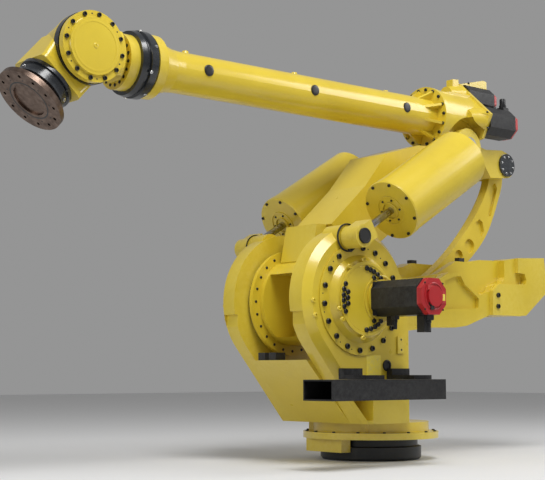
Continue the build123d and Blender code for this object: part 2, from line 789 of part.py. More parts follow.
def elbow_casing():
    """Elbow gearbox: hub between the arm's ears, round nose to the forearm, fork to the link."""
    half = ARM_EAR_INNER - RUNNING_GAP
    hub = disc(ELBOW, ARM_EAR_RADIUS + 6, -half, half)
    front = ELBOW_FLANGE_X - FOREARM_FLANGE_THICKNESS
    back = MOTOR_PLATE_X
    length = front - back
    nose = forward(back, FOREARM_Z) * Pos(0, 0, length / 2) * Cylinder(FOREARM_FLANGE_RADIUS - 6, length)
    rear_face = Plane(origin=(back, 0, FOREARM_Z), x_dir=(0, -1, 0), z_dir=(-1, 0, 0))
    mouth = Plane(origin=(back + 170, 0, FOREARM_Z), x_dir=(0, -1, 0), z_dir=(-1, 0, 0))
    wide = make_face(plate_outline(14))
    narrow = make_face(plate_outline(94))
    taper = loft([(mouth * narrow).face(), (rear_face * wide).face()], ruled=True)
    body = slab(
        [
            (front - 20, FOREARM_Z + 150),
            (front - 110, FOREARM_Z + 165),
            (back, FOREARM_Z + 165),
            (back, ELBOW[1] + 30),
            (ELBOW[0] - 110, ELBOW[1] - 20),
            (ELBOW[0] + 110, ELBOW[1] - 20),
            (front - 20, FOREARM_Z - 120),
        ],
        -half,
        half,
    )
    tab = slab(
        [
            (back + 84, FOREARM_Z + 170),
            (back + 78, FOREARM_Z + 276),
            (back + 24, FOREARM_Z + 280),
            (back + 18, FOREARM_Z + 170),
        ],
        -half / 4,
        half / 4,
    )
    solid = nose + body + taper + tab
    for place, size in elbow_motor_places():
        cone = place * Pos(0, 0, -MOTOR_PLATE_THICKNESS - 60) * Cone(size / 3, size / 2, 120)
        solid = solid + cone
    near_scoop = disc(ELBOW, FORK_RADIUS, half, 2 * half)
    far_scoop = disc(ELBOW, FORK_RADIUS, -2 * half, -half)
    bore = disc(ELBOW, ELBOW_PIN_RADIUS + FIT, -ARM_EAR_INNER, ARM_EAR_INNER)
    behind = box(back - 200, back, -2 * half, 2 * half, FOREARM_Z - MOTOR_PLATE_DROP, FOREARM_Z + 300)
    level = solid - near_scoop - far_scoop - behind
    return tipped(level) + (hub + casing_fork()) - bore


def plate_outline(inset):
    """Outline of the motor plate, drawn smaller by an inset for the casing that meets it."""
    side = MOTOR_PLATE_HALF_WIDTH - inset
    top = MOTOR_PLATE_RISE - inset
    foot = MOTOR_PLATE_DROP - inset / 4
    return Polyline(
        (10, top),
        (side, 27),
        (side - 72, 10 - foot),
        (side - 115, -foot),
        (115 - side, -foot),
        (72 - side, 10 - foot),
        (-side, 27),
        (-10, top),
        close=True,
    )


def motor_plate():
    """Diamond-shaped plate behind the elbow casing, with an upright sheet over the upper motor."""
    place = Plane(origin=(MOTOR_PLATE_X, 0, FOREARM_Z), x_dir=(0, -1, 0), z_dir=(-1, 0, 0))
    plate = place * extrude(make_face(plate_outline(0)), amount=MOTOR_PLATE_THICKNESS)
    back = MOTOR_PLATE_X - MOTOR_PLATE_THICKNESS
    seat = FOREARM_Z + UPPER_MOTOR_RISE + UPPER_MOTOR_SIZE / 2
    sheet = slab(
        [
            (back + 1, FOREARM_Z + UPPER_MOTOR_RISE + UPPER_MOTOR_SIZE / 2),
            (back + 1, seat + 12),
            (back - ELBOW_MOTOR_LENGTH + 20, seat + 66),
            (back - ELBOW_MOTOR_LENGTH - 10, seat + 60),
            (back - ELBOW_MOTOR_LENGTH - 10, seat + 2),
            (back - ELBOW_MOTOR_LENGTH, seat),
        ],
        -5,
        5,
    )
    return plate + sheet


def elbow_motor_places():
    """Places and sizes of the three wrist motors, Z pointing backwards."""
    back = MOTOR_PLATE_X - MOTOR_PLATE_THICKNESS
    half = LOWER_MOTOR_SPACING / 2
    places = []
    for y, z, size in (
        (0, UPPER_MOTOR_RISE, UPPER_MOTOR_SIZE),
        (half, -4, ELBOW_MOTOR_SIZE),
        (-half, -4, ELBOW_MOTOR_SIZE),
    ):
        plane = Plane(origin=(back, y, FOREARM_Z + z), x_dir=(0, -1, 0), z_dir=(-1, 0, 0))
        places.append((plane, size))
    return places


def elbow_motors():
    bars = []
    for place, size in elbow_motor_places():
        bars.append(tipped(octagon_bar(place, size, size / 4, ELBOW_MOTOR_LENGTH)))
    return together(bars)


def elbow_motor_caps():
    bars = []
    for place, size in elbow_motor_places():
        end = place * Pos(0, 0, ELBOW_MOTOR_LENGTH)
        bars.append(tipped(octagon_bar(end, size - 6, size / 4 + 8, 26)))
    return together(bars)


def forearm_tube():
    """Tapered cast tube with a bolted rear flange and a flared mouth."""
    rear = ELBOW_FLANGE_X - FOREARM_FLANGE_THICKNESS
    profile = [
        (0, rear),
        (FOREARM_FLANGE_RADIUS, rear),
        (FOREARM_FLANGE_RADIUS, ELBOW_FLANGE_X),
        (TUBE_REAR_RADIUS, ELBOW_FLANGE_X),
        (TUBE_FRONT_RADIUS, MOUTH_X - 205),
        (TUBE_FRONT_RADIUS + 5, MOUTH_X - 150),
        (TUBE_FRONT_RADIUS + 20, MOUTH_X - 100),
        (TUBE_FRONT_RADIUS + 28, MOUTH_X - 74),
        (MOUTH_RADIUS, MOUTH_X - 52),
        (MOUTH_RADIUS, MOUTH_X),
        (ROLL_JOURNAL_RADIUS + FIT, MOUTH_X),
        (ROLL_JOURNAL_RADIUS + FIT, MOUTH_X - JOURNAL_DEPTH - RUNNING_GAP),
        (0, MOUTH_X - JOURNAL_DEPTH - RUNNING_GAP),
    ]
    tube = turned(profile, forward(0, FOREARM_Z))
    rib = slab(
        [
            (ELBOW_FLANGE_X, 0),
            (ELBOW_FLANGE_X, FOREARM_FLANGE_RADIUS - 14),
            (ELBOW_FLANGE_X + 110, TUBE_REAR_RADIUS - 4),
            (ELBOW_FLANGE_X + 110, 0),
        ],
        -8,
        8,
    )
    for step in range(9):
        tube = tube + Pos(0, 0, FOREARM_Z) * Rot(step * 40 + 10, 0, 0) * rib
    return tube


def roll_ring():
    """Dark double ring of the forearm roll bearing; it turns with the wrist."""
    profile = [
        (0, -RUNNING_GAP - JOURNAL_DEPTH),
        (ROLL_JOURNAL_RADIUS, -RUNNING_GAP - JOURNAL_DEPTH),
        (ROLL_JOURNAL_RADIUS, 0),
        (ROLL_RING_RADIUS - 8, 0),
        (ROLL_RING_RADIUS, 8),
        (ROLL_RING_RADIUS, 48),
        (ROLL_RING_RADIUS - 12, 54),
        (ROLL_RING_RADIUS - 12, 66),
        (ROLL_RING_RADIUS - 4, 72),
        (ROLL_RING_RADIUS - 10, ROLL_RING_LENGTH),
        (0, ROLL_RING_LENGTH),
    ]
    ring = turned(profile, forward(MOUTH_X + RUNNING_GAP, FOREARM_Z))
    return ring


def wrist_neck():
    """Wrist casting: a bolted flange, bridged to one arm that carries the hand from the near side."""
    start = MOUTH_X + RUNNING_GAP + ROLL_RING_LENGTH
    face = start + NECK_FLANGE_LENGTH
    wrist = (WRIST_X, FOREARM_Z)
    flange = forward(start, FOREARM_Z) * Pos(0, 0, NECK_FLANGE_LENGTH / 2)
    flange = flange * Cylinder(NECK_RADIUS_FRONT, NECK_FLANGE_LENGTH)
    flare = [
        (0, start + 10),
        (NECK_BODY_RADIUS, start + 10),
        (NECK_BODY_RADIUS, face),
        (WRIST_ARM_OUTER + 16, WRIST_X - HUB_RADIUS - 4),
        (WRIST_ARM_OUTER + 16, WRIST_X),
        (0, WRIST_X),
    ]
    bridge = turned(flare, forward(0, FOREARM_Z))
    keep = box(
        start,
        WRIST_X,
        NECK_BRIDGE_FAR,
        WRIST_ARM_OUTER,
        FOREARM_Z - NECK_BODY_RADIUS,
        FOREARM_Z + NECK_BODY_RADIUS,
    )
    bridge = bridge & keep
    arm = disc(wrist, HUB_RADIUS - 3, WRIST_ARM_INNER, WRIST_ARM_OUTER)
    bridge = bridge - disc(wrist, HUB_RADIUS + RUNNING_GAP, -HUB_RADIUS, WRIST_ARM_INNER)
    for bend in (BEND_LIMIT, BEND_LIMIT - 12, BEND_LIMIT - 26):
        bridge = bridge - turned_about(wrist, bend - BEND, hand_body(RUNNING_GAP))
        bridge = bridge - turned_about(wrist, -bend - BEND, hand_body(RUNNING_GAP))
    bore = disc(wrist, BEND_JOURNAL_RADIUS + FIT, WRIST_ARM_INNER - 1, WRIST_ARM_OUTER + 1)
    return flange + bridge + arm - bore


def wrist_cover():
    """Round bolted cover on the outside of the wrist arm."""
    place = Plane(origin=(WRIST_X, WRIST_ARM_OUTER, FOREARM_Z), x_dir=(1, 0, 0), z_dir=(0, 1, 0))
    profile = [
        (0, 0),
        (WRIST_COVER_RADIUS, 0),
        (WRIST_COVER_RADIUS, 15),
        (WRIST_COVER_RADIUS - 29, 15),
        (WRIST_COVER_RADIUS - 34, 28),
        (0, 28),
    ]
    return turned(profile, place)


def bend_ring():
    """Dark ring of the wrist bend bearing; it turns with the hand."""
    y1 = HUB_NEAR + BEND_RING_LENGTH
    ring = disc((WRIST_X, FOREARM_Z), HUB_RADIUS, HUB_NEAR, y1)
    journal = disc((WRIST_X, FOREARM_Z), BEND_JOURNAL_RADIUS, y1, WRIST_ARM_OUTER - 4)
    return ring + journal


def hand_body(margin):
    """Tapering part of the hand, from the hub to the square seat of the tool drive."""
    side = 2 * (HAND_SEAT_RADIUS + margin)
    deep = HUB_NEAR - HUB_FAR - 16 + 2 * margin
    high = 2 * (HUB_RADIUS - 26 + margin)
    low = hand_plane(HAND_ROOT) * Pos(8, 0, 0) * RectangleRounded(deep, high, HAND_CORNER)
    end = hand_plane(HAND_SEAT - 24) * RectangleRounded(side, side, HAND_CORNER)
    taper = loft([low.face(), end.face()])
    return taper + hand_plane(HAND_SEAT - 24) * extrude(RectangleRounded(side, side, HAND_CORNER), amount=24)


def hand():
    """Hand casting: a tapering round hub on the bend axis and the seat of the tool drive."""
    wrist = (WRIST_X, FOREARM_Z)
    profile = [
        (0, HUB_FAR),
        (HUB_RADIUS - 58, HUB_FAR),
        (HUB_RADIUS - 40, HUB_FAR + 12),
        (HUB_RADIUS - 26, HUB_FAR + 83),
        (HUB_RADIUS - 6, HUB_NEAR - 26),
        (HUB_RADIUS, HUB_NEAR - 8),
        (HUB_RADIUS, HUB_NEAR),
        (0, HUB_NEAR),
    ]
    place = Plane(origin=(WRIST_X, 0, FOREARM_Z), x_dir=(1, 0, 0), z_dir=(0, 1, 0))
    hub = turned(profile, place)
    ring_room = disc(wrist, HUB_RADIUS + 1, HUB_NEAR, WRIST_ARM_OUTER)
    return hub + hand_body(0) - ring_room


def hand_ring():
    """Dark tool-drive ring between the hand casting and the tool flange."""
    profile = [
        (0, 0),
        (HAND_RING_RADIUS, 0),
        (HAND_RING_RADIUS, 20),
        (HAND_RING_RADIUS - 10, 24),
        (HAND_RING_RADIUS - 10, 50),
        (HAND_RING_RADIUS - 3, 54),
        (HAND_RING_RADIUS - 3, HAND_RING_LENGTH),
        (TOOL_JOURNAL_RADIUS + FIT, HAND_RING_LENGTH),
        (TOOL_JOURNAL_RADIUS + FIT, HAND_RING_LENGTH - JOURNAL_DEPTH),
        (0, HAND_RING_LENGTH - JOURNAL_DEPTH),
    ]
    return turned(profile, hand_plane(HAND_SEAT))


def tool_flange():
    back = HAND_REACH - TOOL_THICKNESS
    root = HAND_SEAT + HAND_RING_LENGTH - JOURNAL_DEPTH + 4
    profile = [
        (0, root),
        (TOOL_JOURNAL_RADIUS, root),
        (TOOL_JOURNAL_RADIUS, back),
        (TOOL_RADIUS, back),
        (TOOL_RADIUS, HAND_REACH),
        (PILOT_RADIUS, HAND_REACH),
        (PILOT_RADIUS, HAND_REACH - PILOT_DEPTH),
        (0, HAND_REACH - PILOT_DEPTH),
    ]
    holes = bolt_holes(TOOL_BOLT_CIRCLE / 2, TOOL_BOLT_COUNT, TOOL_BOLT_RADIUS, TOOL_BOLT_DEPTH)
    front = hand_plane(HAND_REACH - TOOL_BOLT_DEPTH)
    return turned(profile, hand_plane(0)) - [front * hole for hole in holes]


def rod():
    """Polished balancer rod and its eye on the turret pin."""
    stem = balancer_plane(EYE_RADIUS - 6) * Pos(0, 0, (ROD_LENGTH - EYE_RADIUS) / 2)
    return stem * Cylinder(ROD_RADIUS, ROD_LENGTH - EYE_RADIUS)


def rod_end():
    y0 = BALANCER_Y - EYE_HALF_WIDTH
    y1 = BALANCER_Y + EYE_HALF_WIDTH
    eye = disc((EAR_PIN_X, EAR_PIN_Z), EYE_RADIUS, y0, y1)
    neck = balancer_plane(0) * Pos(0, 0, 46) * Box(2 * EYE_HALF_WIDTH, 104, 92)
    bore = disc((EAR_PIN_X, EAR_PIN_Z), EAR_PIN_RADIUS + FIT, y0 - 1, y1 + 1)
    stem = balancer_plane(EYE_RADIUS - 6) * Pos(0, 0, 50) * Cylinder(ROD_RADIUS, 100)
    return eye + neck - bore - stem


def barrel():
    """Balancer cylinder: bolted front cap, plain barrel, domed rear cap with an inboard eye."""
    profile = [
        (ROD_RADIUS + ROD_BORE_GAP, 0),
        (BARREL_RADIUS - 4, 0),
        (BARREL_RADIUS, 8),
        (BARREL_RADIUS, 46),
        (BARREL_RADIUS - 3, 49),
        (BARREL_RADIUS - 3, BARREL_LENGTH - 30),
        (BARREL_RADIUS - 40, BARREL_LENGTH),
        (0, BARREL_LENGTH),
        (0, BARREL_LENGTH - 60),
        (ROD_RADIUS + ROD_BORE_GAP, BARREL_LENGTH - 60),
    ]
    return turned(profile, balancer_plane(CAP_DISTANCE))


def build():
    parts = {
        "base_ring": base_ring(),
        "turning_plate": turning_plate(),
        "stop_block": stop_block(),
        "turret_foot": foot(),
        "left_wall": wall(),
        "right_wall": mirrored(wall()),
        "left_drive_cover": drive_cover(),
        "right_drive_cover": mirrored(drive_cover()),
        "left_shoulder_motor": shoulder_motor(),
        "right_shoulder_motor": mirrored(shoulder_motor()),
        "left_motor_cap": shoulder_motor_cap(),
        "right_motor_cap": mirrored(shoulder_motor_cap()),
        "left_lift_tube": lift_tube(),
        "left_tube_brackets": tube_brackets(),
        "front_bumpers": front_bumpers(),
        "reducer_ring": reducer_ring(),
        "lower_arm": lower_arm(),
        "elbow_shaft": elbow_shaft(),
        "counterweight_lever": lever(),
        "counterweight": counterweight(),
        "lever_bumpers": lever_bumpers(),
        "lever_pin": lever_pin(),
        "link": link(),
        "link_covers": link_covers(),
        "elbow_casing": elbow_casing(),
        "motor_plate": tipped(motor_plate()),
        "elbow_motors": elbow_motors(),
        "elbow_motor_caps": elbow_motor_caps(),
        "forearm_tube": tipped(forearm_tube()),
        "roll_ring": tipped(roll_ring()),
        "wrist_neck": tipped(wrist_neck()),
        "wrist_cover": tipped(wrist_cover()),
        "bend_ring": tipped(bend_ring()),
        "hand": tipped(hand()),
        "hand_ring": tipped(hand_ring()),
        "tool_flange": tipped(tool_flange()),
        "left_rod": rod(),
        "right_rod": mirrored(rod()),
        "left_rod_end": rod_end(),
        "right_rod_end": mirrored(rod_end()),
        "left_barrel": barrel(),
        "right_barrel": mirrored(barrel()),
    }
    return parts


os.makedirs("parts", exist_ok=True)
for name, shape in build().items():
    export_step(shape, os.path.join("parts", name + ".step"))
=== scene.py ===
import json
import math

import bmesh
import bpy
from mathutils import Matrix, Vector


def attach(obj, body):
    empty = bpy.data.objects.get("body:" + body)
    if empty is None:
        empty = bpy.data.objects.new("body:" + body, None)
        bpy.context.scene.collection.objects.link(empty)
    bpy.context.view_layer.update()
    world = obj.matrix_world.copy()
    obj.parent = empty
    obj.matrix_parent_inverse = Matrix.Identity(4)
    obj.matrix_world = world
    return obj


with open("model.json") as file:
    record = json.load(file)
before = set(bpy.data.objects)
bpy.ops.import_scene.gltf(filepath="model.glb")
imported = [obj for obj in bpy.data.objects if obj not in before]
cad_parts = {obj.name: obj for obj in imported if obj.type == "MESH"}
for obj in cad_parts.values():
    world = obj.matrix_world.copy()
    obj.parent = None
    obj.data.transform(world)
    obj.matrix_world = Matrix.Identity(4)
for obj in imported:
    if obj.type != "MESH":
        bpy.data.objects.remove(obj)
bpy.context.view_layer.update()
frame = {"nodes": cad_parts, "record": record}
nodes = frame["nodes"]

# Millimetres to metres
MM = 0.001

# Directions
X = (1, 0, 0)
Y = (0, 1, 0)
Z = (0, 0, 1)

# Sizes of the model, in millimetres in the row frame
SHOULDER = (447, 887)
WALL_FACE = 364
COVER_FACE = 372
DOME_FACE = 418
PLATE_TOP = 159

# Shoulder motors
MOTOR_X = 339
MOTOR_FLANGE_Y = 444
SIGNAL_PLUG_Y = 548
POWER_PLUG_Y = 738
CAP_FACE = 798

# Balancers
EAR_PIN = (550, 0, 1213)
BALANCER_Y = 444
BALANCER_LEAN = math.radians(148.8)
BARREL_START = 314
ROD_EYE_FACE = 502
SEAL_START = 374

# Arm and linkage
DRUM_FLANGE_FACE = -180
LINK_TOP = (-1166.2, 1828.6)
LINK_COVER_FACE = 118
COUNTERWEIGHT_FACE = 230

# Forearm, drawn level and tipped about the elbow
ELBOW = (-719.2, 1886.6)
FOREARM_Z = 2072
PITCH = math.radians(0.7)
AHEAD = (math.cos(PITCH), 0, -math.sin(PITCH))
ELBOW_FLANGE_X = -491
MOTOR_PLATE_X = -830
MOTOR_END_X = -1072
ROLL_RING_X = 1664
NECK_FACE_X = 1802

# Wrist and hand
WRIST = (2047.1, 2038.2)
WRIST_COVER_FACE = 187
WRIST_CENTRE_FACE = 199.5
BEND = math.radians(48.2)
HAND_AXIS = Vector((math.cos(BEND), 0, -math.sin(BEND)))
HAND_UP = Vector((math.sin(BEND), 0, math.cos(BEND)))
HAND_RING_START = 228
TOOL_FACE = 360

# Camera, in metres
CAMERA_PLACE = (5.226, 5.096, 0.4905)
CAMERA_AHEAD = (-0.6557, -0.7475, 0.10637)
CAMERA_LENS = 82.08
CAMERA_SENSOR = 36

# Floor and light
FLOOR_SIZE = 40
FLOOR_COLOUR = (0.74, 0.74, 0.74, 1)
FLOOR_ROUGHNESS = 0.7
WORLD_STRENGTH = 0.30


# Camera at the photograph's viewpoint

def make_camera():
    data = bpy.data.cameras.new("photo_camera")
    data.lens = CAMERA_LENS
    data.sensor_width = CAMERA_SENSOR
    data.clip_end = 60
    camera = bpy.data.objects.new("photo_camera", data)
    bpy.context.scene.collection.objects.link(camera)
    ahead = Vector(CAMERA_AHEAD).normalized()
    right = ahead.cross(Vector(Z)).normalized()
    up = right.cross(ahead)
    turn = Matrix((right, up, -ahead)).transposed()
    camera.matrix_world = Matrix.Translation(CAMERA_PLACE) @ turn.to_4x4()
    bpy.context.scene.camera = camera


# Materials

def new_material(name):
    made = bpy.data.materials.new(name)
    made.use_nodes = True
    tree = made.node_tree
    shader = tree.nodes["Principled BSDF"]
    return made, tree, shader


def add(tree, kind, **values):
    node = tree.nodes.new(kind)
    for key, value in values.items():
        setattr(node, key, value)
    return node


def noise(tree, scale, detail=4, rough=0.55, stretch=None):
    place = add(tree, "ShaderNodeTexCoord")
    node = add(tree, "ShaderNodeTexNoise")
    node.inputs["Scale"].default_value = scale
    node.inputs["Detail"].default_value = detail
    node.inputs["Roughness"].default_value = rough
    source = place.outputs["Object"]
    if stretch:
        mapping = add(tree, "ShaderNodeMapping")
        mapping.inputs["Scale"].default_value = stretch
        tree.links.new(source, mapping.inputs["Vector"])
        source = mapping.outputs["Vector"]
    tree.links.new(source, node.inputs["Vector"])
    return node.outputs["Fac"]


def ramp(tree, source, stops):
    node = add(tree, "ShaderNodeValToRGB")
    band = node.color_ramp
    band.elements[0].position = stops[0][0]
    band.elements[0].color = (*stops[0][1], 1)
    band.elements[1].position = stops[-1][0]
    band.elements[1].color = (*stops[-1][1], 1)
    for at, colour in stops[1:-1]:
        element = band.elements.new(at)
        element.color = (*colour, 1)
    tree.links.new(source, node.inputs["Fac"])
    return node.outputs["Color"]


def ranged(tree, source, low, high):
    node = add(tree, "ShaderNodeMapRange")
    node.inputs["To Min"].default_value = low
    node.inputs["To Max"].default_value = high
    tree.links.new(source, node.inputs["Value"])
    return node.outputs["Result"]


def mixed(tree, factor, one, two):
    node = add(tree, "ShaderNodeMix", data_type="RGBA")
    tree.links.new(factor, node.inputs["Factor"])
    for value, socket in ((one, node.inputs[6]), (two, node.inputs[7])):
        if isinstance(value, tuple):
            socket.default_value = (*value, 1)
        else:
            tree.links.new(value, socket)
    return node.outputs[2]


def edge_mask(tree, low, high, breakup):
    """Worn edges: convex places, broken up by noise."""
    geometry = add(tree, "ShaderNodeNewGeometry")
    spread = add(tree, "ShaderNodeMapRange")
    spread.inputs["From Min"].default_value = low
    spread.inputs["From Max"].default_value = high
    tree.links.new(geometry.outputs["Pointiness"], spread.inputs["Value"])
    product = add(tree, "ShaderNodeMath", operation="MULTIPLY", use_clamp=True)
    tree.links.new(spread.outputs["Result"], product.inputs[0])
    tree.links.new(ranged(tree, noise(tree, breakup, 6, 0.7), -0.8, 1.9), product.inputs[1])
    return product.outputs[0]


def bump(tree, shader, source, strength, distance, under=None):
    node = add(tree, "ShaderNodeBump")
    node.inputs["Strength"].default_value = strength
    node.inputs["Distance"].default_value = distance
    tree.links.new(source, node.inputs["Height"])
    if under:
        tree.links.new(under, node.inputs["Normal"])
    tree.links.new(node.outputs["Normal"], shader.inputs["Normal"])
    return node.outputs["Normal"]


def painted(name, dark, light, worn, rough, coat, dirt=None, shine=0.5):
    """Paint over a casting: cloudy colour, some dirt, worn edges, cast grain and orange peel."""
    made, tree, shader = new_material(name)
    colour = ramp(tree, noise(tree, 2.2, 5), [(0.3, dark), (0.7, light)])
    if dirt:
        cloud = ranged(tree, noise(tree, 5.5, 8, 0.7, (1, 1, 0.45)), -0.7, 0.6)
        colour = mixed(tree, cloud, colour, dirt)
    colour = mixed(tree, edge_mask(tree, 0.56, 0.72, 38), colour, worn)
    tree.links.new(colour, shader.inputs["Base Color"])
    tree.links.new(
        ranged(tree, noise(tree, 9, 6, 0.65), rough - 0.08, rough + 0.1), shader.inputs["Roughness"]
    )
    shader.inputs["Specular IOR Level"].default_value = shine
    shader.inputs["Coat Weight"].default_value = coat
    shader.inputs["Coat Roughness"].default_value = 0.12
    fine = bump(tree, shader, noise(tree, 55, 5, 0.6), 0.12, 0.002)
    bump(tree, shader, noise(tree, 420, 2), 0.1, 0.0006, fine)
    return made


def metal(name, dark, light, rough, scale=60):
    """Bare metal with small stains."""
    made, tree, shader = new_material(name)
    colour = ramp(tree, noise(tree, scale, 6, 0.6), [(0.35, dark), (0.65, light)])
    tree.links.new(colour, shader.inputs["Base Color"])
    shader.inputs["Metallic"].default_value = 1.0
    tree.links.new(
        ranged(tree, noise(tree, scale * 0.4, 5), rough - 0.08, rough + 0.12),
        shader.inputs["Roughness"],
    )
    bump(tree, shader, noise(tree, scale * 4, 3, 0.5), 0.08, 0.0005)
    return made


def make_materials():
    made = {}
    made["yellow"] = painted(
        "yellow_paint", (0.60, 0.44, 0.026), (0.70, 0.53, 0.038), (0.74, 0.60, 0.12), 0.30, 0.4,
        dirt=(0.50, 0.365, 0.035),
    )
    made["dark"] = painted(
        "dark_paint", (0.014, 0.015, 0.016), (0.024, 0.025, 0.027), (0.06, 0.06, 0.06), 0.40, 0.05,
        dirt=(0.024, 0.024, 0.021), shine=0.3,
    )
    made["tube"] = painted(
        "tube_steel", (0.008, 0.008, 0.009), (0.014, 0.014, 0.015), (0.05, 0.05, 0.05), 0.36, 0.05,
        dirt=(0.015, 0.015, 0.014), shine=0.25,
    )
    made["motor"] = painted(
        "motor_black", (0.007, 0.007, 0.008), (0.013, 0.013, 0.014), (0.05, 0.05, 0.05), 0.36, 0.05,
        shine=0.28,
    )
    made["red"] = painted(
        "motor_red", (0.36, 0.010, 0.014), (0.46, 0.016, 0.020), (0.55, 0.10, 0.09), 0.32, 0.3,
    )
    made["rubber"] = painted(
        "black_rubber", (0.008, 0.008, 0.008), (0.014, 0.014, 0.014), (0.03, 0.03, 0.03), 0.62, 0.0,
    )
    made["drive"] = painted(
        "drive_black", (0.007, 0.009, 0.012), (0.014, 0.017, 0.022), (0.12, 0.13, 0.14), 0.24, 0.4,
    )
    made["label"] = painted(
        "bare_label", (0.84, 0.66, 0.012), (0.90, 0.72, 0.020), (0.6, 0.5, 0.2), 0.4, 0.1,
    )
    made["pin"] = metal("pin_steel", (0.28, 0.28, 0.28), (0.45, 0.45, 0.44), 0.34)
    made["chrome"] = metal("rod_chrome", (0.36, 0.35, 0.34), (0.52, 0.52, 0.51), 0.16)
    made["bronze"] = metal("flange_bronze", (0.13, 0.090, 0.070), (0.24, 0.175, 0.140), 0.36, scale=30)
    made["bolt"] = painted(
        "bolt_black", (0.008, 0.008, 0.008), (0.016, 0.016, 0.016), (0.05, 0.05, 0.05), 0.36, 0.1,
    )
    made["silver"] = metal("bolt_silver", (0.5, 0.5, 0.5), (0.75, 0.75, 0.75), 0.25)
    return made


# The record's material slot that each finish stands for
FINISHES = {
    "yellow_paint": "yellow",
    "dark_paint": "dark",
    "tube_steel": "tube",
    "motor_black": "motor",
    "motor_red": "red",
    "black_rubber": "rubber",
    "drive_black": "drive",
    "pin_steel": "pin",
    "rod_chrome": "chrome",
    "flange_bronze": "bronze",
}


def dress_nodes():
    for part in frame["record"]["subparts"]:
        obj = nodes[part["node"]]
        obj.data.materials.clear()
        obj.data.materials.append(materials[FINISHES[part["material_slot"]]])


# Small solids, all in millimetres in the row frame

# Profiles, as shares of the radius and the height
BOLT = ((1, -0.1), (1, 0.85), (0.88, 1), (0.56, 1), (0.5, 0.4), (0, 0.4))
PLUG = ((1, -0.1), (1, 0.55), (0.8, 0.85), (0.5, 0.85), (0.42, 0.5), (0, 0.5))
BOSS = ((1.25, -0.2), (1.02, 0.85), (0.9, 1), (0.42, 1), (0.38, 0.5), (0, 0.5))
RING = ((1, -0.2), (1, 0.8), (0.98, 1), (0.93, 1), (0.91, 0.8), (0.91, -0.2))
DISC = ((1, -1.6), (1, 0.6), (0.9, 0.9), (0.6, 1), (0, 1))
PIN_CAP = ((1, -0.1), (1, 0.9), (0.94, 1), (0.86, 1), (0.8, 0.8), (0, 0.8))
CABLE_PLUG = ((1, 0), (1, 0.3), (0.84, 0.34), (0.84, 0.9), (0.7, 1), (0, 1))
GROMMET = ((1, -0.3), (1, 0.8), (0.9, 1), (0.72, 1), (0.66, 0.3), (0, 0.3))
# Thin black ring laid on a face: painted shade of the tool flange's groove
GROOVE_SHADE_RING = ((1, -0.5), (1, 1), (0.94, 1), (0.94, -0.5))

# Radius and height of the screws, plugs and bosses
DRIVE_BOLT = (15, 12)
DOT = (4, 1)
DOME_PLUG = (14, 13)
CAST_BOSS = (12, 9)
CAP_SCREW = (5, 4)
BARREL_BOLT = (9, 8)
GLAND_BOLT = (6, 6)
DRUM_SCREW = (8, 4)
SMALL_SCREW = (7, 6)
FLANGE_BOLT = (10, 9)
TUBE_PLUG = (30, 6)
TUBE_BOSS = (16, 12)
RING_SCREW = (9, 7)
NECK_BOLT = (9, 3)
WRIST_BOLT = (11, 10)
# Black disc on the tool flange: painted shade in one of its holes
TOOL_HOLE_SHADE = (4.5, 0.6)

# Radius and number of the bolts on each bolt circle
DRIVE_CIRCLE = (277, 18)
CAP_CIRCLE = (98, 4)
BARREL_CIRCLE = (158, 8)
GLAND_CIRCLE = (66, 6)
DRUM_CIRCLE = (274, 24)
LINK_COVER_CIRCLE = (57, 8)
ELBOW_CIRCLE = (172, 18)
NECK_CIRCLE = (120, 18)
WRIST_CIRCLE = (158, 12)
WRIST_DOTS = (158, 6)
TURNING_CIRCLE = (372, 16)


def lathe(mesh, place, axis, radius, height, profile, sides=14):
    """A profile of (radius, height) shares turned about an axis."""
    turn = Vector(axis).to_track_quat("Z", "Y").to_matrix()
    start = Vector(place)
    rows = []
    for out, rise in profile:
        row = []
        for step in range(sides if out else 1):
            angle = 2 * math.pi * step / sides
            reach = radius * out
            local = Vector((reach * math.cos(angle), reach * math.sin(angle), height * rise))
            row.append(mesh.verts.new((start + turn @ local) * MM))
        rows.append(row)
    for low, high in zip(rows, rows[1:]):
        for step in range(sides):
            after = (step + 1) % sides
            if len(high) == 1:
                mesh.faces.new((low[step], low[after], high[0]))
            else:
                mesh.faces.new((low[step], low[after], high[after], high[step]))


def block(mesh, place, size, edge):
    """A box with bevelled edges."""
    made = bmesh.ops.create_cube(mesh, size=1.0)["verts"]
    for vert in made:
        vert.co = (Vector(place) + Vector(vert.co[i] * size[i] for i in range(3))) * MM
    edges = {side for vert in made for side in vert.link_edges}
    bmesh.ops.bevel(mesh, geom=list(edges), offset=edge * MM, segments=2, affect="EDGES")


def circle(centre, side, up, radius, count, start=0.0):
    """Points spaced evenly on a circle, from the side direction towards up."""
    for step in range(count):
        angle = math.radians(start + 360 * step / count)
        along = Vector(side) * math.cos(angle) + Vector(up) * math.sin(angle)
        yield Vector(centre) + along * radius


def piece(name, body, material, mesh):
    """Close a mesh of details into one named piece that rides on a body."""
    data = bpy.data.meshes.new(name)
    mesh.to_mesh(data)
    mesh.free()
    data.materials.append(materials[material])
    data.shade_smooth()
    data.set_sharp_from_angle(angle=math.radians(35))
    made = bpy.data.objects.new(name, data)
    bpy.context.scene.collection.objects.link(made)
    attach(made, body)


def tipped(x, y, z):
    """A point of the forearm, drawn level and then tipped about the elbow."""
    back, rise = x - ELBOW[0], z - ELBOW[1]
    cos, sin = math.cos(PITCH), math.sin(PITCH)
    return Vector((ELBOW[0] + back * cos + rise * sin, y, ELBOW[1] - back * sin + rise * cos))


# Turret

def shoulder_point(radius, angle, y):
    """A point around the shoulder axis, from straight ahead towards up."""
    turn = math.radians(angle)
    return (SHOULDER[0] + radius * math.cos(turn), y, SHOULDER[1] + radius * math.sin(turn))
